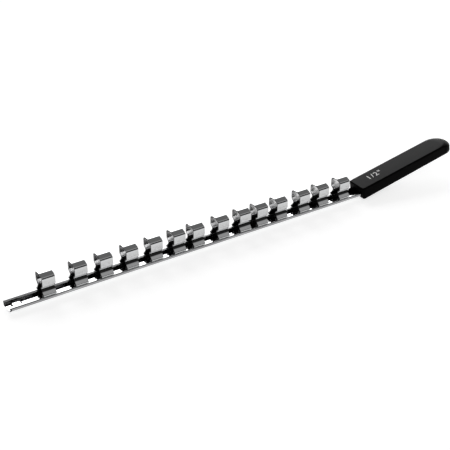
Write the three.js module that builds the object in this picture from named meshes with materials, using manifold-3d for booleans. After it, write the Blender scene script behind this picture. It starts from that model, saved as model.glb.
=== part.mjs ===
// A half-inch-drive socket rail: a chromed channel whose tail bends up into a moulded grip,
// and fourteen spring clips that slide in the channel and hold one socket each.
// Millimetres. +X runs from the free end to the grip, +Y across the rail, +Z up.
import * as THREE from 'three';
import { mergeVertices } from 'three/addons/utils/BufferGeometryUtils.js';
import Module from 'manifold-3d';

const wasm = await Module();
wasm.setup();

// Clearances, and how far a cutter runs past what it cuts
const RUN_GAP = 0.3;
const SEAT_GAP = 0.3;
const OVERRUN = 1;

// How finely curves are stepped
const BEND_STEP = Math.PI / 6;
const ROUND_SIDES = 32;
const CROWN_STEPS = 4;
const TAIL_BEND_STEPS = 4;
const DIMPLE_STEPS = 5;
const GRIP_EDGE_STEPS = 3;
const NOSE_STEPS = 9;
const CORNER_STEPS = 8;

// Clips: spring steel strip. From the crown down, each side runs over a shoulder to a bulge, a waist and
// a skirt, which flares, folds in over the rail's lip and folds out again under it
const CLIP_SHEET = 0.9;
const CLIP_LENGTH = 11.2;
const CLIP_SPREAD = 13.3;
const CLIP_WAIST = 7.1;
const CLIP_RISE = 19.2;
const CROWN_WIDTH = 9.2;
const CROWN_DROP = 1.06;
const BULGE_DEPTH = 9;
const WAIST_DEPTH = 11.8;
const FLARE_SIDE_SHARE = 0.31;
const FLARE_DROP_SHARE = 0.51;
const SKIRT_OVERHANG = 0.3;
const SHOULDER_BEND = 2.4;
const BULGE_BEND = 0.8;
const WAIST_BEND = 1;
const FLARE_BEND = 12;
const FOLD_BEND = 0.5;

// Rail: mild steel strip, rolled to a shallow channel whose lips run between the clips' folds
const RAIL_SHEET = 0.7;
const RAIL_WIDTH = 15.2;
const LIP_REACH = 3.1;
const LIP_SLOPE = THREE.MathUtils.degToRad(8);
const FLOOR_BEND = 0.8;
const LIP_BEND = 0.2;
const RAIL_LENGTH = 351;
const FREE_CORNER = 2.5;
const RAIL_HEIGHT = 2 * RAIL_SHEET + 2 * RUN_GAP + CLIP_SHEET + LIP_REACH * Math.sin(LIP_SLOPE);

// Stop dimple pressed up through the rail's floor near the free end
const DIMPLE_FROM_END = 8.8;
const DIMPLE_RADIUS = 4.1;
const DIMPLE_CROWN_RADIUS = 3.3;
const DIMPLE_HEIGHT = 0.7;

// Grip: it thins a little from below towards its far end, and its top rolls down there to a nose
const GRIP_LENGTH = 113;
const GRIP_WIDTH = 21.4;
const GRIP_THICKNESS = 11.9;
const GRIP_THINNING = 1.3;
const GRIP_DROP = 2.7;
const GRIP_EDGE = 1.4;
const GRIP_MOUTH_CORNER = 2;
const GRIP_END_FLAT = 1.4;
const GRIP_END_CORNER = (GRIP_WIDTH - GRIP_END_FLAT) / 2;
const NOSE_LENGTH = 13.4;
const NOSE_DROP = 5.7;

// Tail of the rail, inside the grip
const TAIL_ANGLE = THREE.MathUtils.degToRad(11);
const TAIL_BEND = 12;
const TAIL_ENTRY = 1.5;
const TAIL_SHORT_OF_TIP = 29;
const TAIL_LENGTH = GRIP_LENGTH - TAIL_SHORT_OF_TIP;
const LOCK_HOLE_RADIUS = 2.8;
const LOCK_HOLE_FROM_TIP = 20;

// Where each clip stands along the bare rail: its middle, as a share of the rail's length
const CLIP_PLACE_SHARES = [
  0.099, 0.179, 0.244, 0.311, 0.376, 0.439, 0.493,
  0.564, 0.628, 0.68, 0.74, 0.811, 0.872, 0.94,
];

const CHROME = { color: 0xd2d4d6, roughness: 0.12, metalness: 1 };
const SPRING_CHROME = { color: 0xc9cbce, roughness: 0.15, metalness: 1 };
const GRIP_PLASTIC = { color: 0x26272a, roughness: 0.5, metalness: 0 };

const ACROSS = new THREE.Vector3(0, 1, 0);
const ORIGIN_2D = new THREE.Vector2(0, 0);

// Solids for booleans
function toSolid(geometry) {
  const bare = geometry.clone();
  bare.deleteAttribute('normal');
  bare.deleteAttribute('uv');
  const merged = mergeVertices(bare);
  return new wasm.Manifold(new wasm.Mesh({
    numProp: 3,
    vertProperties: new Float32Array(merged.attributes.position.array),
    triVerts: new Uint32Array(merged.index.array),
  }));
}

function toGeometry(solid) {
  const mesh = solid.getMesh();
  const geometry = new THREE.BufferGeometry();
  geometry.setAttribute('position', new THREE.BufferAttribute(mesh.vertProperties, mesh.numProp));
  geometry.setIndex(new THREE.BufferAttribute(mesh.triVerts, 1));
  geometry.computeVertexNormals();
  return geometry;
}

// The outline of a bent strip: its middle line goes round the corners given, each with its own bend
// radius, and the sheet lies half on each side of that line
function stripOutline(corners, sheet) {
  const left = [];
  const right = [];
  const put = (point, direction) => {
    const aside = new THREE.Vector2(-direction.y, direction.x).multiplyScalar(sheet / 2);
    left.push(point.clone().add(aside));
    right.push(point.clone().sub(aside));
  };
  corners.forEach(({ at, bend }, index) => {
    const before = corners[index - 1];
    const after = corners[index + 1];
    if (!before || !after) {
      const [from, to] = before ? [before.at, at] : [at, after.at];
      put(at, to.clone().sub(from).normalize());
      return;
    }
    const incoming = at.clone().sub(before.at).normalize();
    const outgoing = after.at.clone().sub(at).normalize();
    if (bend === 0) {
      put(at, incoming.clone().add(outgoing).normalize());
      return;
    }
    const turn = Math.atan2(incoming.cross(outgoing), incoming.dot(outgoing));
    const toCentre = new THREE.Vector2(-incoming.y, incoming.x).multiplyScalar(Math.sign(turn) * bend);
    const start = at.clone().addScaledVector(incoming, -bend * Math.tan(Math.abs(turn) / 2));
    const centre = start.clone().add(toCentre);
    const steps = Math.max(1, Math.ceil(Math.abs(turn) / BEND_STEP));
    for (let step = 0; step <= steps; step += 1) {
      const angle = (turn * step) / steps;
      const direction = incoming.clone().rotateAround(ORIGIN_2D, angle);
      put(centre.clone().sub(toCentre.clone().rotateAround(ORIGIN_2D, angle)), direction);
    }
  });
  return [...right, ...left.reverse()];
}

const corner = (y, z, bend = 0) => ({ at: new THREE.Vector2(y, z), bend });

// The same corners on the other side of the rail's middle plane, in the order that carries on from them
const mirrored = (corners) => corners.map(({ at, bend }) => corner(-at.x, at.y, bend)).reverse();

// A closed body skinned over rings of equally many points. The outline is the first ring's own, laid flat,
// and closes both ends
function skin(rings, outline) {
  const count = outline.length;
  const last = (rings.length - 1) * count;
  const faces = [];
  for (const [a, b, c] of THREE.ShapeUtils.triangulateShape(outline, [])) {
    faces.push(a, c, b);
    faces.push(last + a, last + b, last + c);
  }
  for (let ring = 0; ring < last; ring += count) {
    for (let side = 0; side < count; side += 1) {
      const next = (side + 1) % count;
      faces.push(ring + side, ring + next, ring + count + next);
      faces.push(ring + side, ring + count + next, ring + count + side);
    }
  }
  const geometry = new THREE.BufferGeometry();
  const positions = rings.flat().flatMap((point) => [...point]);
  geometry.setAttribute('position', new THREE.Float32BufferAttribute(positions, 3));
  geometry.setIndex(faces);
  geometry.computeVertexNormals();
  return geometry;
}

// An outline swept through stations: at each one its first axis stays across the rail and its second axis
// leans back by the station's angle
function sweep(outline, stations) {
  const rings = stations.map(({ x, z, angle }) => {
    const base = new THREE.Vector3(x, 0, z);
    const up = new THREE.Vector3(-Math.sin(angle), 0, Math.cos(angle));
    return outline.map((point) => (
      base.clone().addScaledVector(ACROSS, point.x).addScaledVector(up, point.y)
    ));
  });
  return skin(rings, outline);
}

// A box between two corners
function block(from, to) {
  const size = to.clone().sub(from);
  const middle = from.clone().add(to).multiplyScalar(1 / 2);
  return new THREE.BoxGeometry(...size).translate(...middle);
}

// An upright cylinder between two heights
function post(radius, x, from, to) {
  const geometry = new THREE.CylinderGeometry(radius, radius, to - from, ROUND_SIDES);
  return geometry.rotateX(Math.PI / 2).translate(x, 0, (from + to) / 2);
}

// The rail's section is open at the top, between two lips. They turn in over the channel
// and slope down towards each other
function railSection() {
  const side = RAIL_WIDTH / 2 - RAIL_SHEET / 2;
  const tip = RAIL_WIDTH / 2 - LIP_REACH;
  const low = RAIL_SHEET / 2;
  const lipBend = LIP_BEND + RAIL_SHEET / 2;
  const lipTurn = Math.PI / 2 + LIP_SLOPE;
  const high = RAIL_HEIGHT - RAIL_SHEET / 2 + lipBend * (Math.tan(lipTurn / 2) - 1);
  const half = [
    corner(side, low, FLOOR_BEND + RAIL_SHEET / 2),
    corner(side, high, lipBend),
    corner(tip, high - (side - tip) * Math.tan(LIP_SLOPE)),
  ];
  return stripOutline([...mirrored(half), ...half], RAIL_SHEET);
}

// The tail turns up at the grip's mouth. Its bend is measured on the rail's underside
const TAIL_BEND_FROM = RAIL_LENGTH + TAIL_ENTRY;
const TAIL_FROM_X = TAIL_BEND_FROM + TAIL_BEND * Math.sin(TAIL_ANGLE);
const TAIL_FROM_Z = TAIL_BEND * (1 - Math.cos(TAIL_ANGLE));

function railStations() {
  const stations = [{ x: 0, z: 0, angle: 0 }];
  for (let step = 0; step <= TAIL_BEND_STEPS; step += 1) {
    const angle = (TAIL_ANGLE * step) / TAIL_BEND_STEPS;
    stations.push({
      x: TAIL_BEND_FROM + TAIL_BEND * Math.sin(angle),
      z: TAIL_BEND * (1 - Math.cos(angle)),
      angle,
    });
  }
  stations.push({
    x: TAIL_FROM_X + TAIL_LENGTH * Math.cos(TAIL_ANGLE),
    z: TAIL_FROM_Z + TAIL_LENGTH * Math.sin(TAIL_ANGLE),
    angle: TAIL_ANGLE,
  });
  return stations;
}

// From a piece laid along +X with its underside on z = 0, to its place on the tail
function ontoTail(geometry) {
  return geometry.rotateY(-TAIL_ANGLE).translate(TAIL_FROM_X, 0, TAIL_FROM_Z);
}

// A round-topped button from a base height up, of one outer radius
function button(baseRadius, crownRadius, base, height) {
  const profile = [new THREE.Vector2(0, base - OVERRUN), new THREE.Vector2(baseRadius, base - OVERRUN)];
  for (let step = 0; step <= DIMPLE_STEPS; step += 1) {
    const angle = ((Math.PI / 2) * step) / DIMPLE_STEPS;
    const radius = crownRadius + (baseRadius - crownRadius) * Math.cos(angle);
    profile.push(new THREE.Vector2(radius, base + height * Math.sin(angle)));
  }
  profile.push(new THREE.Vector2(0, base + height));
  return new THREE.LatheGeometry(profile, ROUND_SIDES).rotateX(Math.PI / 2);
}

// The button's lower part sinks OVERRUN into the floor's middle, so that is trimmed to the floor first
function addDimple(rail) {
  const raised = toSolid(button(DIMPLE_RADIUS, DIMPLE_CROWN_RADIUS, RAIL_SHEET, DIMPLE_HEIGHT));
  const keep = toSolid(block(
    new THREE.Vector3(-RAIL_WIDTH, -RAIL_WIDTH, RAIL_SHEET / 2),
    new THREE.Vector3(RAIL_WIDTH, RAIL_WIDTH, RAIL_HEIGHT),
  ));
  const dent = toSolid(button(
    DIMPLE_RADIUS - RAIL_SHEET / 2,
    DIMPLE_CROWN_RADIUS - RAIL_SHEET / 2,
    0,
    DIMPLE_HEIGHT,
  ));
  const place = [DIMPLE_FROM_END, 0, 0];
  return rail.add(raised.intersect(keep).translate(place)).subtract(dent.translate(place));
}

// Seen from above, the free end has round corners
function railPlan() {
  const reach = RAIL_WIDTH / 2;
  const far = RAIL_LENGTH + GRIP_LENGTH + OVERRUN;
  const shape = new THREE.Shape();
  shape.moveTo(far, -reach - OVERRUN);
  shape.lineTo(far, reach + OVERRUN);
  shape.lineTo(FREE_CORNER, reach + OVERRUN);
  shape.lineTo(FREE_CORNER, reach);
  shape.absarc(FREE_CORNER, reach - FREE_CORNER, FREE_CORNER, Math.PI / 2, Math.PI, false);
  shape.absarc(FREE_CORNER, FREE_CORNER - reach, FREE_CORNER, Math.PI, (3 * Math.PI) / 2, false);
  shape.lineTo(FREE_CORNER, -reach - OVERRUN);
  const geometry = new THREE.ExtrudeGeometry(shape, {
    depth: RAIL_LENGTH + OVERRUN,
    bevelEnabled: false,
    curveSegments: CORNER_STEPS,
  });
  return geometry.translate(0, 0, -OVERRUN);
}

function makeRail() {
  const lockHole = ontoTail(post(
    LOCK_HOLE_RADIUS,
    TAIL_LENGTH - LOCK_HOLE_FROM_TIP,
    -OVERRUN,
    RAIL_SHEET + OVERRUN,
  ));
  const channel = toSolid(sweep(railSection(), railStations())).intersect(toSolid(railPlan()));
  return toGeometry(addDimple(channel).subtract(toSolid(lockHole)));
}

// One clip is a single strip. Half of it, from its foot under the rail's lip up to the middle of its crown
function clipHalf() {
  const inner = CLIP_SHEET / 2;
  const top = RAIL_HEIGHT + CLIP_RISE - inner;
  const footSide = RAIL_WIDTH / 2 - RAIL_SHEET - 2 * RUN_GAP;
  const footHeight = RAIL_SHEET + RUN_GAP + inner;
  const legSide = RAIL_WIDTH / 2 - LIP_REACH - RUN_GAP - inner;
  const skirtSide = RAIL_WIDTH / 2 + SKIRT_OVERHANG;
  const skirtHeight = RAIL_HEIGHT + RUN_GAP + inner;
  const waistSide = CLIP_WAIST / 2 - inner;
  const waistHeight = top - WAIST_DEPTH;
  const flareSide = waistSide + (skirtSide - waistSide) * FLARE_SIDE_SHARE;
  const flareHeight = waistHeight + (skirtHeight - waistHeight) * FLARE_DROP_SHARE;
  const faceSide = CLIP_SPREAD / 2 - inner;
  const crownSide = CROWN_WIDTH / 2;
  const crownSlope = (2 * CROWN_DROP) / crownSide;
  const half = [
    corner(footSide, footHeight),
    corner(legSide, footHeight, FOLD_BEND),
    corner(legSide, skirtHeight, FOLD_BEND),
    corner(skirtSide, skirtHeight, FOLD_BEND),
    corner(flareSide, flareHeight, FLARE_BEND),
    corner(waistSide, waistHeight, WAIST_BEND),
    corner(faceSide, top - BULGE_DEPTH, BULGE_BEND),
    corner(faceSide, top - CROWN_DROP - (faceSide - crownSide) * crownSlope, SHOULDER_BEND),
  ];
  for (let step = 0; step < CROWN_STEPS; step += 1) {
    const share = 1 - step / CROWN_STEPS;
    half.push(corner(crownSide * share, top - CROWN_DROP * share ** 2));
  }
  return { half, top };
}

function makeClip() {
  const { half, top } = clipHalf();
  const outline = stripOutline([...half, corner(0, top), ...mirrored(half)], CLIP_SHEET);
  const stations = [-CLIP_LENGTH / 2, CLIP_LENGTH / 2].map((x) => ({ x, z: 0, angle: 0 }));
  return sweep(outline, stations);
}

// The grip's outline seen from above at one level, laid along +X with its mouth at x = 0. Every side is
// drawn in by the same inset, and the far end by its own
function gripOutline(inset, endInset) {
  const reach = GRIP_WIDTH / 2 - inset;
  const far = GRIP_LENGTH - endInset;
  const mouthCorner = GRIP_MOUTH_CORNER - inset;
  const endCorner = GRIP_END_CORNER - inset;
  const shape = new THREE.Shape();
  shape.absarc(inset + mouthCorner, mouthCorner - reach, mouthCorner, Math.PI, (3 * Math.PI) / 2, false);
  shape.absarc(far - endCorner, endCorner - reach, endCorner, -Math.PI / 2, 0, false);
  shape.absarc(far - endCorner, reach - endCorner, endCorner, 0, Math.PI / 2, false);
  shape.absarc(inset + mouthCorner, reach - mouthCorner, mouthCorner, Math.PI / 2, Math.PI, false);
  return shape.getPoints(CORNER_STEPS);
}

// How far a rounded edge draws in at one depth below the face that it rounds off
function edgeInset(depth) {
  const short = Math.max(GRIP_EDGE - depth, 0);
  return GRIP_EDGE - Math.sqrt(GRIP_EDGE ** 2 - short ** 2);
}

function gripBody() {
  const rings = [];
  for (let step = 0; step <= GRIP_EDGE_STEPS; step += 1) {
    const height = GRIP_EDGE * (1 - Math.cos(((Math.PI / 2) * step) / GRIP_EDGE_STEPS));
    const inset = edgeInset(height);
    rings.push(gripOutline(inset, inset).map(({ x, y }) => (
      new THREE.Vector3(x, y, height + (GRIP_THINNING * x) / GRIP_LENGTH)
    )));
  }
  for (let step = 0; step <= NOSE_STEPS; step += 1) {
    const angle = ((Math.PI / 2) * step) / NOSE_STEPS;
    const depth = NOSE_DROP * (1 - Math.sin(angle));
    const outline = gripOutline(edgeInset(depth), NOSE_LENGTH * (1 - Math.cos(angle)));
    rings.push(outline.map(({ x, y }) => new THREE.Vector3(x, y, GRIP_THICKNESS - depth)));
  }
  return skin(rings, gripOutline(GRIP_EDGE, GRIP_EDGE));
}

// The pocket takes the whole channel with a gap all round, and a moulded peg stays in it to fill the lock hole
function gripPocket() {
  const reach = RAIL_WIDTH / 2 + SEAT_GAP;
  const outline = [
    new THREE.Vector2(-reach, -SEAT_GAP),
    new THREE.Vector2(reach, -SEAT_GAP),
    new THREE.Vector2(reach, RAIL_HEIGHT + SEAT_GAP),
    new THREE.Vector2(-reach, RAIL_HEIGHT + SEAT_GAP),
  ];
  const stations = railStations();
  const first = stations[0];
  const last = stations.at(-1);
  first.x = RAIL_LENGTH - GRIP_THICKNESS;
  last.x += SEAT_GAP * Math.cos(TAIL_ANGLE);
  last.z += SEAT_GAP * Math.sin(TAIL_ANGLE);
  const peg = ontoTail(post(
    LOCK_HOLE_RADIUS - SEAT_GAP,
    TAIL_LENGTH - LOCK_HOLE_FROM_TIP,
    -SEAT_GAP - OVERRUN,
    RAIL_HEIGHT + SEAT_GAP + OVERRUN,
  ));
  return toSolid(sweep(outline, stations)).subtract(toSolid(peg));
}

function makeGrip() {
  const body = gripBody().rotateY(-TAIL_ANGLE).translate(RAIL_LENGTH, 0, -GRIP_DROP);
  return toGeometry(toSolid(body).subtract(gripPocket()));
}

function named(name, geometry, finish) {
  const mesh = new THREE.Mesh(geometry, new THREE.MeshStandardMaterial(finish));
  mesh.name = name;
  return mesh;
}

const assembly = new THREE.Group();
assembly.add(named('rail', makeRail(), CHROME));
assembly.add(named('grip', makeGrip(), GRIP_PLASTIC));
CLIP_PLACE_SHARES.forEach((share, index) => {
  const clip = named(`clip_${String(index + 1).padStart(2, '0')}`, makeClip(), SPRING_CHROME);
  clip.position.x = RAIL_LENGTH * share;
  assembly.add(clip);
});

// The origin is under the middle of the whole object, at its lowest point
const extent = new THREE.Box3().setFromObject(assembly, true);
const middle = extent.getCenter(new THREE.Vector3());
assembly.position.set(-middle.x, 0, -extent.min.z);

export default assembly;
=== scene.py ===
# A half-inch-drive socket rail, dressed for its photograph: a chromed channel with fourteen spring
# clips standing in it and a dark moulded grip on its tail. Metres throughout, +X towards the grip.
import math

import bmesh
import bpy
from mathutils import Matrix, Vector


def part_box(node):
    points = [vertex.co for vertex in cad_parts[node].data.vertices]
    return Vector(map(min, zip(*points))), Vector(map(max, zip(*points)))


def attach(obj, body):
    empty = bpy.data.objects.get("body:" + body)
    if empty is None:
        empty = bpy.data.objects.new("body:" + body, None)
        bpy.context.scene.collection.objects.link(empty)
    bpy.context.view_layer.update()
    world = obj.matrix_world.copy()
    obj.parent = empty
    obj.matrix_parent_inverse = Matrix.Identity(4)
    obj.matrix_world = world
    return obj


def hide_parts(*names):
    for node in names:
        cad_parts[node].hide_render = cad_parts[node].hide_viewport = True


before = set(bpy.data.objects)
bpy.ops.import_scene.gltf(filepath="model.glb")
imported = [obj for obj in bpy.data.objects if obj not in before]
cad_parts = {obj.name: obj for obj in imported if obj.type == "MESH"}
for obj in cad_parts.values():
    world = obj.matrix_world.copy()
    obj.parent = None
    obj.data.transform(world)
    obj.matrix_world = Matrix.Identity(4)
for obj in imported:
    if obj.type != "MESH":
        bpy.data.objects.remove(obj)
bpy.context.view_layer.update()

# Camera. The photograph looks down on the rail from its free end's side, with a long lens.
# The rail crosses the whole square picture, from low on the left to high on the right.
CAMERA_PLACE = (-0.43827, -0.64313, 0.45733)
CAMERA_TURN = (59.84, 0.085, -32.614)
CAMERA_LENS = 81.22
CAMERA_NEAR = 0.01
CAMERA_FAR = 20

camera = bpy.data.objects.new("camera", bpy.data.cameras.new("camera"))
camera.location = CAMERA_PLACE
camera.rotation_euler = [math.radians(turn) for turn in CAMERA_TURN]
camera.data.lens = CAMERA_LENS
camera.data.clip_start = CAMERA_NEAR
camera.data.clip_end = CAMERA_FAR
bpy.context.scene.collection.objects.link(camera)
bpy.context.scene.camera = camera

# Studio. A pale floor under the rail, a bright sweep of paper behind it, and a dim ceiling that ends
# in a soft strip of light on the camera's side. The room in front is dark. The chrome shows all of
# it: white where it looks back at the paper, dark where it looks up or towards the front.
WHITE = (1, 1, 1, 1)
FLOOR_WIDTH = 6
FLOOR_COLOUR = (0.6, 0.6, 0.6, 1)
FLOOR_ROUGHNESS = 0.9
FLOOR_GLOW = 0.72
ROOM_LIGHT = 0.02
PAPER_LIGHT = 3.5
PAPER_TOP = math.radians(51)
PAPER_LEFT = -0.2
CEILING_LIGHT = 0.17
CEILING_FRONT = math.radians(104)
STRIP_LIGHT = 0.42
STRIP_FRONT = math.radians(136)
LIGHT_FADE = math.radians(8)
KEY_LIGHT = 3
KEY_WIDTH = 2.4
KEY_HEIGHT = 2


def deselect():
    """Leaves nothing selected, so that the next operator acts only on what it adds."""
    bpy.ops.object.select_all(action="DESELECT")


def new_material(name, values):
    """A material whose Principled BSDF has these plain values, with its node tree and its shader."""
    material = bpy.data.materials.new(name)
    material.use_nodes = True
    shader = material.node_tree.nodes["Principled BSDF"]
    for socket, value in values.items():
        shader.inputs[socket].default_value = value
    return material, material.node_tree, shader


def add_node(tree, kind, values, **settings):
    """A node with its settings made and its inputs filled, each from a socket or a plain value."""
    node = tree.nodes.new(kind)
    for setting, value in settings.items():
        setattr(node, setting, value)
    for name, value in values.items():
        if isinstance(value, bpy.types.NodeSocket):
            tree.links.new(value, node.inputs[name])
        else:
            node.inputs[name].default_value = value
    return node


def work_out(tree, operation, first, second=0.0):
    """One sum on two values."""
    return add_node(tree, "ShaderNodeMath", {0: first, 1: second}, operation=operation).outputs[0]


def ramp(tree, value, start, end, top=1.0):
    """Nothing to the top value, smoothly, as a value goes from start to end."""
    sizes = {"Value": value, "From Min": start, "From Max": end, "To Max": top}
    node = add_node(tree, "ShaderNodeMapRange", sizes, interpolation_type="SMOOTHSTEP")
    return node.outputs["Result"]


deselect()
bpy.ops.mesh.primitive_plane_add(size=FLOOR_WIDTH)
floor = bpy.context.object
floor.name = "floor"
floor_paint, _, _ = new_material("pale_floor", {
    "Base Color": FLOOR_COLOUR, "Roughness": FLOOR_ROUGHNESS, "Specular IOR Level": 0.0,
    "Emission Color": WHITE, "Emission Strength": FLOOR_GLOW,
})
floor.data.materials.append(floor_paint)

# The sky's turn about the rail's own direction: 0 is level behind the rail, a quarter turn is overhead
world = bpy.data.worlds.new("studio")
bpy.context.scene.world = world
world.use_nodes = True
sky = world.node_tree
sky_place = add_node(sky, "ShaderNodeTexCoord", {}).outputs["Generated"]
sky_axes = add_node(sky, "ShaderNodeSeparateXYZ", {"Vector": sky_place}).outputs
turn = work_out(sky, "ARCTAN2", sky_axes["Z"], sky_axes["Y"])
above_floor = ramp(sky, turn, -LIGHT_FADE, 0)
paper = ramp(sky, turn, PAPER_TOP, PAPER_TOP - LIGHT_FADE, PAPER_LIGHT)
paper = work_out(sky, "MULTIPLY", paper, above_floor)
paper = work_out(sky, "MULTIPLY", paper, ramp(sky, sky_axes["X"], PAPER_LEFT, 0))
ceiling = ramp(sky, turn, CEILING_FRONT + LIGHT_FADE, CEILING_FRONT, CEILING_LIGHT)
ceiling = work_out(sky, "MULTIPLY", ceiling, above_floor)
strip = ramp(sky, turn, CEILING_FRONT, CEILING_FRONT + 2 * LIGHT_FADE, STRIP_LIGHT)
strip = work_out(sky, "MULTIPLY", strip, ramp(sky, turn, STRIP_FRONT + LIGHT_FADE, STRIP_FRONT))
glow = work_out(sky, "ADD", paper, ceiling)
glow = work_out(sky, "ADD", glow, work_out(sky, "ADD", strip, ROOM_LIGHT))
# Seen past the floor's edge, the room is as pale as the floor
seen = add_node(sky, "ShaderNodeLightPath", {}).outputs["Is Camera Ray"]
glow = work_out(sky, "MAXIMUM", glow, seen)
background = sky.nodes["Background"]
background.inputs["Color"].default_value = WHITE
sky.links.new(glow, background.inputs["Strength"])

key = bpy.data.objects.new("key_light", bpy.data.lights.new("key_light", "AREA"))
key.data.shape = "SQUARE"
key.data.size = KEY_WIDTH
key.data.energy = KEY_LIGHT
key.location = (0, 0, KEY_HEIGHT)
key.visible_glossy = False
bpy.context.scene.collection.objects.link(key)

bpy.context.scene.view_settings.view_transform = "Standard"

# Rail. One strip of mild steel, rolled into a shallow channel with two in-turned lips, then
# chromed. Its free end has round corners and a pressed stop dimple. Its tail bends up into the grip.
RAIL_SHEET = 0.0007
RAIL_WIDTH = 0.0152
RAIL_HEIGHT = 0.0033314
LIP_REACH = 0.0031
LIP_SLOPE = math.radians(8)
FLOOR_BEND = 0.0008
LIP_BEND = 0.0002
RAIL_LENGTH = 0.351
FREE_CORNER = 0.0025
FREE_CORNER_STEPS = 12
TAIL_ANGLE = math.radians(11)
TAIL_BEND = 0.012
TAIL_STEPS = 6
TAIL_ENTRY = 0.0015
TAIL_LENGTH = 0.084
DIMPLE_FROM_END = 0.0088
DIMPLE_RADIUS = 0.0041
DIMPLE_CROWN = 0.0033
DIMPLE_HEIGHT = 0.0007
DIMPLE_SIDES = 64
DIMPLE_STEPS = 9
BEND_STEP = math.radians(9)
EDGE_ROUND = 0.00012
SHARP_EDGE = math.radians(60)
SMOOTH_TURN = math.radians(20)
SAME_PLACE = 1e-6
NO_STEP = 1e-7

rail_low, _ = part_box("rail")
RAIL_START = rail_low.x
RAIL_BASE = rail_low.z
RAIL_END = RAIL_START + RAIL_LENGTH


def only(piece):
    """Selects one piece and nothing else, and makes it the one that operators act on."""
    deselect()
    piece.select_set(True)
    bpy.context.view_layer.objects.active = piece


def choose(piece, kind, test):
    """In edit mode, selects the points, edges or faces of a piece whose corners all pass a test."""
    bpy.ops.mesh.select_mode(type=kind)
    bpy.ops.mesh.select_all(action="DESELECT")
    mesh = bmesh.from_edit_mesh(piece.data)
    if kind == "VERT":
        for point in mesh.verts:
            point.select_set(test(point.co))
    else:
        for part in mesh.edges if kind == "EDGE" else mesh.faces:
            part.select_set(all(test(corner.co) for corner in part.verts))
    bmesh.update_edit_mesh(piece.data)


def near(value, wanted):
    """Whether two places are the same, to a thousandth of a millimetre."""
    return abs(value - wanted) < SAME_PLACE


def lay_strip(name, start, end, corners):
    """A bare sheet from start to end along X. Its section follows corners, each (y, z, bend radius)."""
    points = [Vector((y, z)) for y, z, _ in corners]
    bends = []
    for index in range(1, len(points) - 1):
        into = (points[index] - points[index - 1]).normalized()
        out = (points[index + 1] - points[index]).normalized()
        turn = -into.angle_signed(out)
        setback = corners[index][2] * math.tan(abs(turn) / 2)
        side = Vector((-into.y, into.x)) * math.copysign(corners[index][2], turn)
        bends.append((points[index] - into * setback, points[index] + out * setback, side, turn))
    first = bends[0][0]
    deselect()
    bpy.ops.mesh.primitive_plane_add(
        size=1,
        location=((start + end) / 2, (points[0].x + first.x) / 2, points[0].y),
    )
    piece = bpy.context.object
    piece.name = name
    piece.scale = (end - start, abs(first.x - points[0].x), 1)
    bpy.ops.object.transform_apply()
    bpy.ops.object.mode_set(mode="EDIT")
    choose(piece, "EDGE", lambda place: near(place.y, first.x))
    here = first
    for enter, leave, side, turn in bends:
        if (enter - here).length > NO_STEP:
            step = enter - here
            bpy.ops.mesh.extrude_edges_move(TRANSFORM_OT_translate={"value": (0, step.x, step.y)})
        if side.length > 0:
            centre = enter + side
            bpy.ops.mesh.spin(
                steps=max(2, math.ceil(abs(turn) / BEND_STEP)),
                angle=-turn,
                center=(0, centre.x, centre.y),
                axis=(1, 0, 0),
            )
        here = leave
    step = points[-1] - here
    bpy.ops.mesh.extrude_edges_move(TRANSFORM_OT_translate={"value": (0, step.x, step.y)})
    bpy.ops.object.mode_set(mode="OBJECT")
    return piece


def apply_modifier(piece, kind, **settings):
    """Adds one modifier with these settings to a piece and applies it."""
    only(piece)
    modifier = piece.modifiers.new(kind.lower(), kind)
    for setting, value in settings.items():
        setattr(modifier, setting, value)
    bpy.ops.object.modifier_apply(modifier=modifier.name)


def finish_sheet(piece, sheet, **finishes):
    """Mirrors half a bare sheet, gives it its thickness and takes the sharpness off its edges."""
    apply_modifier(piece, "MIRROR", use_axis=(False, True, False), merge_threshold=SAME_PLACE)
    apply_modifier(
        piece, "SOLIDIFY", thickness=sheet, offset=0, use_even_offset=True, use_quality_normals=True,
        **finishes,
    )
    apply_modifier(
        piece, "BEVEL", width=EDGE_ROUND, segments=2, limit_method="ANGLE", angle_limit=SHARP_EDGE
    )


def bend_tail(piece, kind, start):
    """Turns the end of a piece up round the tail's bend and runs it on to the tail's tip."""
    only(piece)
    bpy.ops.object.mode_set(mode="EDIT")
    choose(piece, kind, lambda place: near(place.x, start))
    centre = (start, 0, RAIL_BASE + TAIL_BEND)
    bpy.ops.mesh.spin(steps=TAIL_STEPS, angle=TAIL_ANGLE, center=centre, axis=(0, 1, 0))
    run = (TAIL_LENGTH * math.cos(TAIL_ANGLE), 0, TAIL_LENGTH * math.sin(TAIL_ANGLE))
    if kind == "EDGE":
        bpy.ops.mesh.extrude_edges_move(TRANSFORM_OT_translate={"value": run})
    else:
        bpy.ops.mesh.extrude_region_move(TRANSFORM_OT_translate={"value": run})
    bpy.ops.object.mode_set(mode="OBJECT")


def add_block(centre, size):
    """A plain block: the start of a piece, or the body of a cutting tool."""
    deselect()
    bpy.ops.mesh.primitive_cube_add(size=1, location=centre)
    block = bpy.context.object
    block.scale = size
    bpy.ops.object.transform_apply()
    return block


def use_tool(piece, tool, operation):
    """Cuts or joins a piece with a tool body and removes it. A bare tool takes the piece's finish."""
    if not tool.data.materials:
        tool.data.materials.append(piece.data.materials[0])
    apply_modifier(
        piece, "BOOLEAN", object=tool, operation=operation, solver="EXACT", material_mode="TRANSFER"
    )
    bpy.data.objects.remove(tool)


def round_upright(piece, x, radius, steps):
    """In edit mode, rounds the upright edges at one place along the piece."""
    bpy.ops.mesh.select_mode(type="EDGE")
    bpy.ops.mesh.select_all(action="DESELECT")
    mesh = bmesh.from_edit_mesh(piece.data)
    for edge in mesh.edges:
        first, second = (corner.co for corner in edge.verts)
        edge.select_set(near(first.x, x) and near(second.x, x) and near(first.y, second.y))
    bmesh.update_edit_mesh(piece.data)
    bpy.ops.mesh.bevel(offset=radius, segments=steps, affect="EDGES")


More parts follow.
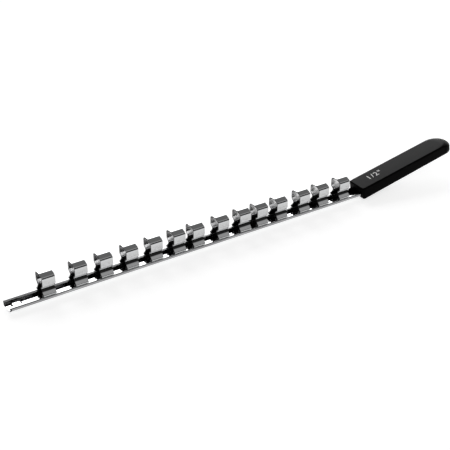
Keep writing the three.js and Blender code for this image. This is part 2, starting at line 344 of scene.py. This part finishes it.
def rise(step, across=1, along=1, centre=(0, 0, 0)):
    """In edit mode, extrudes the chosen face upwards and draws it in about a centre."""
    bpy.ops.mesh.extrude_region_move(TRANSFORM_OT_translate={"value": (0, 0, step)})
    bpy.ops.transform.resize(value=(along, across, 1), center_override=centre)


def make_button(radius, crown, base, depth):
    """A round-topped button: a plug that starts below its base, then a rounded rise to a flat crown."""
    place = (RAIL_START + DIMPLE_FROM_END, 0, base - depth)
    deselect()
    bpy.ops.mesh.primitive_circle_add(
        vertices=DIMPLE_SIDES, radius=radius, fill_type="NGON", location=place
    )
    button = bpy.context.object
    bpy.ops.object.transform_apply()
    bpy.ops.object.mode_set(mode="EDIT")
    bpy.ops.mesh.select_all(action="SELECT")
    rise(depth)
    width = radius
    height = 0
    for step in range(1, DIMPLE_STEPS + 1):
        angle = math.pi / 2 / DIMPLE_STEPS * step
        wider, higher = crown + (radius - crown) * math.cos(angle), DIMPLE_HEIGHT * math.sin(angle)
        rise(higher - height, wider / width, wider / width, place)
        width, height = wider, higher
    bpy.ops.mesh.select_all(action="SELECT")
    bpy.ops.mesh.normals_make_consistent(inside=False)
    bpy.ops.object.mode_set(mode="OBJECT")
    return button


def new_group(name, numbers, outputs):
    """A node group that takes a place and some numbers and puts out values, with its two ends."""
    group = bpy.data.node_groups.new(name, "ShaderNodeTree")
    group.interface.new_socket("Place", in_out="INPUT", socket_type="NodeSocketVector")
    for number in numbers:
        group.interface.new_socket(number, in_out="INPUT", socket_type="NodeSocketFloat")
    for output in outputs:
        group.interface.new_socket(output, in_out="OUTPUT", socket_type="NodeSocketFloat")
    return group, group.nodes.new("NodeGroupInput").outputs, group.nodes.new("NodeGroupOutput").inputs


def speckle(tree, place, scale, detail=3.0):
    """Cloudy noise at one scale, from 0 to 1."""
    values = {"Vector": place, "Scale": scale, "Detail": detail}
    return add_node(tree, "ShaderNodeTexNoise", values).outputs["Fac"]


# Effects that the finishes share: uneven roughness with a fine grain, and hair scratches that come in
# patches. The band that is rubbed at one level, broken up by noise, is for the plate alone.
NOISE_MIDDLE = 0.5
FINE_SHARE = 0.3
BLOTCH_DETAIL = 5.0
PATCH_SCALE = 0.37
BREAK_DETAIL = 6.0
BREAK_START = 0.4
BREAK_END = 0.65

grain, given, result = new_group(
    "grain", ["Grain", "Blotch", "Roughness", "Spread"], ["Roughness", "Height"]
)
fine = speckle(grain, given["Place"], given["Grain"])
blotch = speckle(grain, given["Place"], given["Blotch"], BLOTCH_DETAIL)
uneven = work_out(grain, "ADD", blotch, work_out(grain, "MULTIPLY", fine, FINE_SHARE))
uneven = work_out(grain, "SUBTRACT", uneven, NOISE_MIDDLE * (1 + FINE_SHARE))
uneven = work_out(grain, "MULTIPLY", uneven, given["Spread"])
grain.links.new(work_out(grain, "ADD", uneven, given["Roughness"]), result["Roughness"])
grain.links.new(fine, result["Height"])

scratches, given, result = new_group("scratches", ["Scale", "Width", "Share"], ["Mask"])
line = speckle(scratches, given["Place"], given["Scale"])
line = work_out(scratches, "ABSOLUTE", work_out(scratches, "SUBTRACT", line, NOISE_MIDDLE))
line = ramp(scratches, line, given["Width"], 0.0)
patch_scale = work_out(scratches, "MULTIPLY", given["Scale"], PATCH_SCALE)
patch = speckle(scratches, given["Place"], patch_scale)
patch = work_out(scratches, "LESS_THAN", patch, given["Share"])
scratches.links.new(work_out(scratches, "MULTIPLY", line, patch), result["Mask"])

rubbed, given, result = new_group("rubbed_band", ["Level", "Width", "Break"], ["Mask"])
height = add_node(rubbed, "ShaderNodeSeparateXYZ", {"Vector": given["Place"]}).outputs["Z"]
away = work_out(rubbed, "ABSOLUTE", work_out(rubbed, "SUBTRACT", height, given["Level"]))
band = ramp(rubbed, away, given["Width"], 0.0)
broken = speckle(rubbed, given["Place"], given["Break"], BREAK_DETAIL)
broken = ramp(rubbed, broken, BREAK_START, BREAK_END)
rubbed.links.new(work_out(rubbed, "MULTIPLY", band, broken), result["Mask"])


def place_group(tree, group, values):
    """The outputs of one use of a shared node group, with its own values."""
    return add_node(tree, "ShaderNodeGroup", values, node_tree=group).outputs


def own_place(tree, stretch=(1, 1, 1)):
    """The piece's own coordinates, stretched where marks run one way."""
    place = add_node(tree, "ShaderNodeTexCoord", {}).outputs["Object"]
    return add_node(tree, "ShaderNodeMapping", {"Vector": place, "Scale": stretch}).outputs["Vector"]


def blend_colours(tree, shader, mask, clean, masked_colour):
    """Colours a shader with a clean colour, and with a second colour where a mask says so: wear, print
    wear, painted shade or painted sheen, as each use needs.
    """
    mix = add_node(tree, "ShaderNodeMixRGB", {"Fac": mask, "Color1": clean, "Color2": masked_colour})
    tree.links.new(mix.outputs["Color"], shader.inputs["Base Color"])
    return mix.outputs["Color"]


def set_bump(tree, shader, height, strength, depth):
    """Raises a shader's surface by a height value."""
    bump = add_node(tree, "ShaderNodeBump", {"Height": height, "Strength": strength, "Distance": depth})
    tree.links.new(bump.outputs["Normal"], shader.inputs["Normal"])


# Plate: rolling lines along the strip, handling marks, and a dull band where sockets rub the clips'
# bulges. A ring of painted shade darkens the groove round the stop dimple, and painted shade, broken
# up by noise, darkens the outer walls, which are also rougher there.
PLATE_COLOUR = (0.58, 0.585, 0.59, 1)
RUBBED_COLOUR = (0.5, 0.5, 0.5, 1)
WALL_SHADE_COLOUR = (0.33, 0.33, 0.335, 1)
GROOVE_SHADE_COLOUR = (0.06, 0.06, 0.06, 1)
LINE_STRENGTH = 0.5
WORN_ROUGHNESS = 0.1
GROOVE_ROUGHNESS = 0.3
PLATE_BUMP = 0.04
PLATE_DEPTH = 0.00002
BULGE_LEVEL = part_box("clip_01")[1].z - 0.0075
RUB_WIDTH = 0.003
GROOVE_WIDTH = 0.0009
WALL_TOP = RAIL_BASE + RAIL_HEIGHT - LIP_BEND
WALL_TOP_FADE = 0.0003
WALL_INNER = RAIL_WIDTH / 2 - 0.0004
WALL_OUTER = RAIL_WIDTH / 2 - 0.0001
WALL_PATCH_SCALE = 260
WALL_PATCH_DETAIL = 4.0
WALL_PATCH_START = 0.2
WALL_PATCH_END = 0.62

chrome, chrome_tree, chrome_shader = new_material("bright_chrome", {"Metallic": 1})
chrome_place = own_place(chrome_tree)
plate = place_group(chrome_tree, grain, {
    "Place": own_place(chrome_tree, (0.15, 1, 1)),
    "Grain": 2600, "Blotch": 90, "Roughness": 0.07, "Spread": 0.08,
})
plate_lines = place_group(chrome_tree, scratches, {
    "Place": own_place(chrome_tree, (0.04, 1, 1)), "Scale": 900, "Width": 0.02, "Share": 0.45,
})
plate_rub = place_group(chrome_tree, rubbed, {
    "Place": chrome_place, "Level": BULGE_LEVEL, "Width": RUB_WIDTH, "Break": 700,
})
plate_worn = work_out(chrome_tree, "MULTIPLY", plate_lines["Mask"], LINE_STRENGTH)
plate_worn = work_out(chrome_tree, "MAXIMUM", plate_worn, plate_rub["Mask"])
# Painted shade: a dark ring is coloured into the crease where the dimple meets the floor, which is also
# rougher
from_dimple = add_node(
    chrome_tree, "ShaderNodeVectorMath",
    {0: chrome_place, 1: (RAIL_START + DIMPLE_FROM_END, 0, RAIL_BASE + RAIL_SHEET)},
    operation="DISTANCE",
).outputs["Value"]
from_groove = work_out(chrome_tree, "SUBTRACT", from_dimple, DIMPLE_RADIUS)
from_groove = work_out(chrome_tree, "ABSOLUTE", from_groove)
groove = ramp(chrome_tree, from_groove, GROOVE_WIDTH, GROOVE_WIDTH / 2)
chrome_axes = add_node(chrome_tree, "ShaderNodeSeparateXYZ", {"Vector": chrome_place}).outputs
from_middle = work_out(chrome_tree, "ABSOLUTE", chrome_axes["Y"])
# Painted shade: the outer walls below the lip are coloured darker, broken up by noise, standing in for
# the shaded floor they reflect; the same mask adds scuff roughness
outer_wall = work_out(
    chrome_tree, "MULTIPLY",
    ramp(chrome_tree, from_middle, WALL_INNER, WALL_OUTER),
    ramp(chrome_tree, chrome_axes["Z"], WALL_TOP, WALL_TOP - WALL_TOP_FADE),
)
wall_shade_and_scuffs = speckle(chrome_tree, own_place(chrome_tree, (0.12, 1, 1)), WALL_PATCH_SCALE, WALL_PATCH_DETAIL)
wall_shade_and_scuffs = ramp(chrome_tree, wall_shade_and_scuffs, WALL_PATCH_START, WALL_PATCH_END)
wall_shade_and_scuffs = work_out(chrome_tree, "MULTIPLY", outer_wall, wall_shade_and_scuffs)

plate_rough = plate["Roughness"]
for mask, roughness in (
    (plate_worn, WORN_ROUGHNESS), (groove, GROOVE_ROUGHNESS), (wall_shade_and_scuffs, WORN_ROUGHNESS)
):
    rougher = work_out(chrome_tree, "MULTIPLY", mask, roughness)
    plate_rough = work_out(chrome_tree, "ADD", plate_rough, rougher)
chrome_tree.links.new(plate_rough, chrome_shader.inputs["Roughness"])
plate_colour = PLATE_COLOUR
# Rub wear, then painted shade on the outer walls, then painted shade in the dimple's groove
for mask, masked_colour in ((plate_worn, RUBBED_COLOUR), (wall_shade_and_scuffs, WALL_SHADE_COLOUR), (groove, GROOVE_SHADE_COLOUR)):
    plate_colour = blend_colours(chrome_tree, chrome_shader, mask, plate_colour, masked_colour)
set_bump(chrome_tree, chrome_shader, plate["Height"], PLATE_BUMP, PLATE_DEPTH)

# Sheared ends: the same plate over a rough cut face, which stays dull and dark
SHEAR_COLOUR = (0.025, 0.025, 0.026, 1)
SHEAR_LINE_COLOUR = (0.07, 0.07, 0.07, 1)
SHEAR_BUMP = 0.2
SHEAR_DEPTH = 0.00005

edge_steel, edge_tree, edge_shader = new_material("sheared_edge", {"Metallic": 1})
shear = place_group(edge_tree, grain, {
    "Place": own_place(edge_tree, (1, 1, 0.2)),
    "Grain": 5200, "Blotch": 600, "Roughness": 0.42, "Spread": 0.2,
})
shear_lines = place_group(edge_tree, scratches, {
    "Place": own_place(edge_tree, (1, 1, 0.1)), "Scale": 3000, "Width": 0.05, "Share": 0.6,
})
edge_tree.links.new(shear["Roughness"], edge_shader.inputs["Roughness"])
blend_colours(edge_tree, edge_shader, shear_lines["Mask"], SHEAR_COLOUR, SHEAR_LINE_COLOUR)
set_bump(edge_tree, edge_shader, shear["Height"], SHEAR_BUMP, SHEAR_DEPTH)

rail_side = RAIL_WIDTH / 2 - RAIL_SHEET / 2
rail_floor = RAIL_BASE + RAIL_SHEET / 2
rail_tip = RAIL_WIDTH / 2 - LIP_REACH
lip_bend = LIP_BEND + RAIL_SHEET / 2
lip_rise = lip_bend * (math.tan((math.pi / 2 + LIP_SLOPE) / 2) - 1)
rail_lip = RAIL_BASE + RAIL_HEIGHT - RAIL_SHEET / 2 + lip_rise
rail = lay_strip(
    "chromed_channel",
    RAIL_START - FREE_CORNER,
    RAIL_END + TAIL_ENTRY,
    [
        (0, rail_floor, 0),
        (rail_side, rail_floor, FLOOR_BEND + RAIL_SHEET / 2),
        (rail_side, rail_lip, lip_bend),
        (rail_tip, rail_lip - (rail_side - rail_tip) * math.tan(LIP_SLOPE), 0),
    ],
)
bend_tail(rail, "EDGE", RAIL_END + TAIL_ENTRY)
finish_sheet(rail, RAIL_SHEET)

# The strip is trimmed to a block with the free end's round corners, and the cut face is sheared steel
plan_end = RAIL_END + TAIL_ENTRY + 2 * TAIL_LENGTH
plan = add_block(
    ((RAIL_START + plan_end) / 2, 0, RAIL_BASE),
    (plan_end - RAIL_START, RAIL_WIDTH + EDGE_ROUND, 2 * TAIL_LENGTH),
)
bpy.ops.object.mode_set(mode="EDIT")
round_upright(plan, RAIL_START, FREE_CORNER, FREE_CORNER_STEPS)
bpy.ops.object.mode_set(mode="OBJECT")
rail.data.materials.append(chrome)
plan.data.materials.append(edge_steel)
use_tool(rail, plan, "INTERSECT")

# The dimple is pressed up from below, so it is a button on top and a hollow underneath
button = make_button(DIMPLE_RADIUS, DIMPLE_CROWN, RAIL_BASE + RAIL_SHEET, RAIL_SHEET / 2)
use_tool(rail, button, "UNION")
hollow = make_button(
    DIMPLE_RADIUS - RAIL_SHEET / 2, DIMPLE_CROWN - RAIL_SHEET / 2, RAIL_BASE, RAIL_SHEET
)
use_tool(rail, hollow, "DIFFERENCE")


def smooth(piece):
    """Shades a piece smooth, apart from edges where it turns by more than its curves do."""
    only(piece)
    bpy.ops.object.shade_smooth_by_angle(angle=SMOOTH_TURN)


smooth(rail)
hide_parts("rail")
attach(rail, "rail_body")

# Clips. Each is one strip of spring steel, sheared to length, bent and chromed. From its crown, each
# side runs over a shoulder to a bulge that holds a socket, a waist, and a flared skirt that folds in
# over the rail's lip and out again under it.
CLIP_SHEET = 0.0009
CLIP_SPREAD = 0.0133
CLIP_WAIST = 0.0071
CROWN_WIDTH = 0.0092
CROWN_DROP = 0.00106
CROWN_STEPS = 12
BULGE_DEPTH = 0.009
WAIST_DEPTH = 0.0118
FLARE_SIDE_SHARE = 0.31
FLARE_DROP_SHARE = 0.51
SKIRT_OVERHANG = 0.0003
SHOULDER_BEND = 0.0024
BULGE_BEND = 0.0008
WAIST_BEND = 0.001
FLARE_BEND = 0.012
FOLD_BEND = 0.0005
RUN_GAP = 0.0003

clip_low, clip_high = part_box("clip_01")
clip_half = CLIP_SHEET / 2
clip_reach = (clip_high.x - clip_low.x) / 2
crown_top = clip_high.z - clip_half
foot_height = clip_low.z + clip_half
leg_side = RAIL_WIDTH / 2 - LIP_REACH - RUN_GAP - clip_half
skirt_side = RAIL_WIDTH / 2 + SKIRT_OVERHANG
skirt_height = RAIL_BASE + RAIL_HEIGHT + RUN_GAP + clip_half
waist_side = CLIP_WAIST / 2 - clip_half
waist_height = crown_top - WAIST_DEPTH
face_side = CLIP_SPREAD / 2 - clip_half
crown_side = CROWN_WIDTH / 2
crown_slope = 2 * CROWN_DROP / crown_side
clip_corners = [
    (RAIL_WIDTH / 2 - RAIL_SHEET - 2 * RUN_GAP, foot_height, 0),
    (leg_side, foot_height, FOLD_BEND),
    (leg_side, skirt_height, FOLD_BEND),
    (skirt_side, skirt_height, FOLD_BEND),
    (
        waist_side + (skirt_side - waist_side) * FLARE_SIDE_SHARE,
        waist_height + (skirt_height - waist_height) * FLARE_DROP_SHARE,
        FLARE_BEND,
    ),
    (waist_side, waist_height, WAIST_BEND),
    (face_side, crown_top - BULGE_DEPTH, BULGE_BEND),
    (face_side, crown_top - CROWN_DROP - (face_side - crown_side) * crown_slope, SHOULDER_BEND),
]
for step in range(CROWN_STEPS + 1):
    share = 1 - step / CROWN_STEPS
    clip_corners.append((crown_side * share, crown_top - CROWN_DROP * share ** 2, 0))

# Thin plate: inside the bent clips the bath leaves less chrome, so it is duller, and painted shade
# darkens it from the waist down, in the hollow under the skirts
THIN_COLOUR = (0.78, 0.78, 0.785, 1)
INNER_SHADE_COLOUR = (0.03, 0.03, 0.03, 1)
INNER_SHADE_SPAN = 0.0016
INNER_SHADE_SCALE = 900

thin_plate, thin_tree, thin_shader = new_material("thin_plate", {"Metallic": 1})
thin_place = own_place(thin_tree)
thin = place_group(thin_tree, grain, {
    "Place": own_place(thin_tree, (0.15, 1, 1)),
    "Grain": 2600, "Blotch": 90, "Roughness": 0.24, "Spread": 0.1,
})
thin_height = add_node(thin_tree, "ShaderNodeSeparateXYZ", {"Vector": thin_place}).outputs["Z"]
# Painted shade: the inner faces are coloured near black from the waist down, with a wavering edge,
# where the hollow under the skirts is shaded
waver = work_out(thin_tree, "SUBTRACT", speckle(thin_tree, thin_place, INNER_SHADE_SCALE), NOISE_MIDDLE)
waver = work_out(thin_tree, "MULTIPLY", waver, INNER_SHADE_SPAN)
inner_shade_level = work_out(thin_tree, "ADD", thin_height, waver)
inner_shade = ramp(thin_tree, inner_shade_level, waist_height + INNER_SHADE_SPAN, waist_height)
thin_tree.links.new(thin["Roughness"], thin_shader.inputs["Roughness"])
blend_colours(thin_tree, thin_shader, inner_shade, THIN_COLOUR, INNER_SHADE_COLOUR)
set_bump(thin_tree, thin_shader, thin["Height"], PLATE_BUMP, PLATE_DEPTH)

pattern = lay_strip("clip_pattern", -clip_reach, clip_reach, clip_corners)
for finish in (chrome, edge_steel, thin_plate):
    pattern.data.materials.append(finish)
finish_sheet(pattern, CLIP_SHEET, material_offset=2, material_offset_rim=1)
smooth(pattern)

for name in sorted(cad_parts):
    if name.startswith("clip_"):
        low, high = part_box(name)
        clip = pattern.copy()
        clip.data = pattern.data.copy()
        clip.name = f"spring_{name}"
        clip.data.name = clip.name
        bpy.context.scene.collection.objects.link(clip)
        clip.location.x = (low.x + high.x) / 2
        only(clip)
        bpy.ops.object.transform_apply()
        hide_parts(name)
        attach(clip, name)
bpy.data.objects.remove(pattern)

# Grip. One piece of dark plastic, moulded over the rail's tail. It leans up at the tail's angle,
# with flat faces, softly rounded edges and wide round corners at its far end.
GRIP_LENGTH = 0.113
GRIP_WIDTH = 0.0214
GRIP_THICKNESS = 0.0119
GRIP_THINNING = 0.0013
GRIP_DROP = 0.0027
GRIP_EDGE = 0.0014
GRIP_EDGE_STEPS = 5
GRIP_MOUTH_CORNER = 0.002
GRIP_MOUTH_STEPS = 6
GRIP_END_CORNER = 0.01
GRIP_END_STEPS = 20
NOSE_LENGTH = 0.0134
NOSE_DROP = 0.0057
NOSE_STEPS = 24
SEAT_GAP = 0.0003

# Moulded grain all over, a painted sheen that lightens the flat top, and pale nicks from use
GRIP_UP = (-math.sin(TAIL_ANGLE), 0, math.cos(TAIL_ANGLE))
PLASTIC_GLOSS = 0.02
PLASTIC_COLOUR = (0.0012, 0.0012, 0.0013, 1)
PLASTIC_BUMP = 0.15
PLASTIC_DEPTH = 0.00006
SHEEN_NICK_COLOUR = (0.068, 0.068, 0.069, 1)
SHEEN_START = 0.95
SHEEN_END = 0.998
SHEEN_SHARE = 0.7
NICK_STRENGTH = 0.2

plastic, plastic_tree, plastic_shader = new_material(
    "moulded_plastic", {"Specular IOR Level": PLASTIC_GLOSS}
)
mould = place_group(plastic_tree, grain, {
    "Place": own_place(plastic_tree), "Grain": 2400, "Blotch": 60, "Roughness": 0.44, "Spread": 0.12,
})
nicks = place_group(plastic_tree, scratches, {
    "Place": own_place(plastic_tree, (0.2, 1, 1)), "Scale": 350, "Width": 0.012, "Share": 0.42,
})
facing = add_node(
    plastic_tree, "ShaderNodeVectorMath",
    {0: add_node(plastic_tree, "ShaderNodeNewGeometry", {}).outputs["Normal"], 1: GRIP_UP},
    operation="DOT_PRODUCT",
).outputs["Value"]
nicked = work_out(plastic_tree, "MULTIPLY", nicks["Mask"], NICK_STRENGTH)
# Painted sheen: faces that look up along the grip are coloured lighter, standing in for the top's
# shine; the pale nicks join the same mask
sheen_and_nicks = ramp(plastic_tree, facing, SHEEN_START, SHEEN_END, SHEEN_SHARE)
sheen_and_nicks = work_out(plastic_tree, "ADD", sheen_and_nicks, nicked)
plastic_tree.links.new(mould["Roughness"], plastic_shader.inputs["Roughness"])
blend_colours(plastic_tree, plastic_shader, sheen_and_nicks, PLASTIC_COLOUR, SHEEN_NICK_COLOUR)
set_bump(plastic_tree, plastic_shader, mould["Height"], PLASTIC_BUMP, PLASTIC_DEPTH)

nose_base = GRIP_THICKNESS - NOSE_DROP
grip = add_block((GRIP_LENGTH / 2, 0, nose_base / 2), (GRIP_LENGTH, GRIP_WIDTH, nose_base))
grip.name = "moulded_grip"
grip.data.materials.append(plastic)
bpy.ops.object.mode_set(mode="EDIT")
round_upright(grip, GRIP_LENGTH, GRIP_END_CORNER, GRIP_END_STEPS)
round_upright(grip, 0, GRIP_MOUTH_CORNER, GRIP_MOUTH_STEPS)
choose(grip, "EDGE", lambda place: near(place.z, 0))
bpy.ops.mesh.bevel(offset=GRIP_EDGE, segments=GRIP_EDGE_STEPS, affect="EDGES")
choose(grip, "VERT", lambda place: place.z < nose_base - GRIP_EDGE)
bpy.ops.transform.rotate(
    value=math.atan(GRIP_THINNING / GRIP_LENGTH), orient_axis="Y", center_override=(0, 0, 0),
)


def nose_level(step):
    """A level of the grip's top: its depth below the top, its sides' inset and its far end's inset."""
    angle = math.pi / 2 * step / NOSE_STEPS
    depth = NOSE_DROP * (1 - math.sin(angle))
    side = GRIP_EDGE - math.sqrt(GRIP_EDGE ** 2 - max(GRIP_EDGE - depth, 0) ** 2)
    return depth, side, NOSE_LENGTH * (1 - math.cos(angle))


choose(grip, "FACE", lambda place: near(place.z, nose_base))
for step in range(1, NOSE_STEPS + 1):
    last_depth, last_side, last_end = nose_level(step - 1)
    depth, side, end = nose_level(step)
    rise(last_depth - depth, (GRIP_WIDTH / 2 - side) / (GRIP_WIDTH / 2 - last_side))
    level = GRIP_THICKNESS - depth
    choose(grip, "VERT", lambda place: near(place.z, level) and place.x > GRIP_LENGTH / 2)
    bpy.ops.transform.translate(value=(last_end - end, 0, 0))
    choose(grip, "VERT", lambda place: near(place.z, level) and place.x < GRIP_LENGTH / 2)
    bpy.ops.transform.translate(value=(side - last_side, 0, 0))
    choose(grip, "FACE", lambda place: near(place.z, level))
bpy.ops.object.mode_set(mode="OBJECT")


def seat_on_tail(piece):
    """Leans a piece that was made level up to the tail's angle, and sets it at the grip's mouth."""
    piece.rotation_euler.y = -TAIL_ANGLE
    piece.location = (RAIL_END, 0, RAIL_BASE - GRIP_DROP)
    only(piece)
    bpy.ops.object.transform_apply()


seat_on_tail(grip)

# The rail's tail lies in a pocket of its own shape, which opens at the grip's mouth
pocket_start = RAIL_END - GRIP_THICKNESS
pocket_end = RAIL_END + TAIL_ENTRY
pocket = add_block(
    ((pocket_start + pocket_end) / 2, 0, RAIL_BASE + RAIL_HEIGHT / 2),
    (pocket_end - pocket_start, RAIL_WIDTH + 2 * SEAT_GAP, RAIL_HEIGHT + 2 * SEAT_GAP),
)
bend_tail(pocket, "FACE", pocket_end)
use_tool(grip, pocket, "DIFFERENCE")
smooth(grip)

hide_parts("grip")
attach(grip, "rail_body")

# Size mark. The drive size in plain bold figures, a thin film of pale ink that is printed on the
# grip's flat top near its mouth, and a little worn by hands.
MARK_HEIGHT = 0.0064
MARK_FROM_MOUTH = 0.0158
MARK_ASIDE = -0.0022
MARK_BOLDNESS = 0.018
MARK_SPACING = 1.25
INK_DEPTH = 0.00004
INK_GLOSS = 0.2
INK_BUMP = 0.1
INK_COLOUR = (0.85, 0.85, 0.84, 1)
WORN_INK_COLOUR = (0.4, 0.4, 0.4, 1)

deselect()
bpy.ops.object.text_add()
mark = bpy.context.object
mark.name = "size_mark"
mark.data.body = '1/2"'
mark.data.extrude = INK_DEPTH
mark.data.offset = MARK_BOLDNESS
mark.data.space_character = MARK_SPACING
bpy.ops.object.convert(target="MESH")
mark = bpy.context.object
print_low = Vector(min(corner[axis] for corner in mark.bound_box) for axis in range(3))
print_high = Vector(max(corner[axis] for corner in mark.bound_box) for axis in range(3))
mark_scale = MARK_HEIGHT / (print_high.y - print_low.y)
mark.scale = (mark_scale, mark_scale, 1)
mark.location = (
    MARK_FROM_MOUTH - print_low.x * mark_scale, MARK_ASIDE - print_low.y * mark_scale, GRIP_THICKNESS
)
bpy.ops.object.transform_apply()
seat_on_tail(mark)

ink, ink_tree, ink_shader = new_material("pale_ink", {"Specular IOR Level": INK_GLOSS})
ink_film = place_group(ink_tree, grain, {
    "Place": own_place(ink_tree), "Grain": 2400, "Blotch": 500, "Roughness": 0.6, "Spread": 0.2,
})
ink_wear = place_group(ink_tree, scratches, {
    "Place": own_place(ink_tree, (0.3, 1, 1)), "Scale": 1500, "Width": 0.03, "Share": 0.5,
})
ink_tree.links.new(ink_film["Roughness"], ink_shader.inputs["Roughness"])
blend_colours(ink_tree, ink_shader, ink_wear["Mask"], INK_COLOUR, WORN_INK_COLOUR)
set_bump(ink_tree, ink_shader, ink_film["Height"], INK_BUMP, INK_DEPTH)
mark.data.materials.append(ink)
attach(mark, "rail_body")
